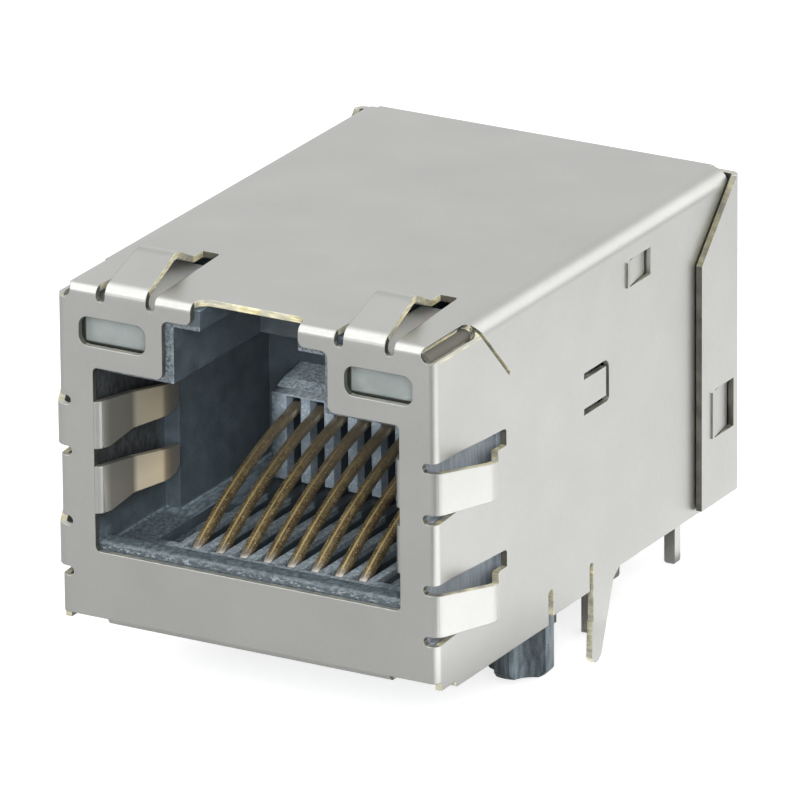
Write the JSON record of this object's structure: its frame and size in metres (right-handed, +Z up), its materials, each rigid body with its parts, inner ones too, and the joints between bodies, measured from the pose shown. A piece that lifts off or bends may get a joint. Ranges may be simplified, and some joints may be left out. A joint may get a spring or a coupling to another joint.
{
  "type": "shielded modular jack",
  "caption": "Shielded board-mounted modular jack with sprung ground fingers, light windows, gold spring contacts and isolating coils inside.",
  "frame": {"origin": "on the circuit board's top face, midway between the two locating pegs", "axes": "+X to the right along the front plate as seen from the front, +Y from the port into the body, +Z up from the board"},
  "size_m": [0.0184, 0.0231, 0.0173],
  "materials": {
    "shield_sheet": "satin plated sheet with raw yellow cut edges",
    "housing_plastic": "dark blue-grey moulded plastic, faintly speckled",
    "black_plastic": "black moulded plastic",
    "contact_gold": "gold-plated spring wire",
    "light_resin": "milky clear resin",
    "tinned_wire": "bright tinned wire",
    "board_laminate": "green coated laminate",
    "ferrite": "dark sintered ferrite",
    "copper_wire": "enamelled copper wire",
    "chip_body": "black chip resistor",
    "chip_ceramic": "tan chip capacitor"
  },
  "bodies": {
    "root": {"shield": "shield_sheet", "housing": "housing_plastic", "contact_carrier": "black_plastic", "contact_1": "contact_gold", "contact_2": "contact_gold", "contact_3": "contact_gold", "contact_4": "contact_gold", "contact_5": "contact_gold", "contact_6": "contact_gold", "contact_7": "contact_gold", "contact_8": "contact_gold", "light_left": "light_resin", "light_right": "light_resin", "light_lead_1": "tinned_wire", "light_lead_2": "tinned_wire", "light_lead_3": "tinned_wire", "light_lead_4": "tinned_wire", "coil_tray": "black_plastic", "filter_board": "board_laminate", "transformer_core_1": "ferrite", "transformer_core_2": "ferrite", "transformer_core_3": "ferrite", "transformer_core_4": "ferrite", "transformer_winding_1": "copper_wire", "transformer_winding_2": "copper_wire", "transformer_winding_3": "copper_wire", "transformer_winding_4": "copper_wire", "choke_core_1": "ferrite", "choke_core_2": "ferrite", "choke_core_3": "ferrite", "choke_core_4": "ferrite", "choke_winding_1": "copper_wire", "choke_winding_2": "copper_wire", "choke_winding_3": "copper_wire", "choke_winding_4": "copper_wire", "resistor_1": "chip_body", "resistor_2": "chip_body", "resistor_3": "chip_body", "resistor_4": "chip_body", "capacitor": "chip_ceramic", "board_pin_1": "tinned_wire", "board_pin_2": "tinned_wire", "board_pin_3": "tinned_wire", "board_pin_4": "tinned_wire", "board_pin_5": "tinned_wire", "board_pin_6": "tinned_wire", "board_pin_7": "tinned_wire", "board_pin_8": "tinned_wire", "board_pin_9": "tinned_wire", "board_pin_10": "tinned_wire"}
  },
  "joints": []
}
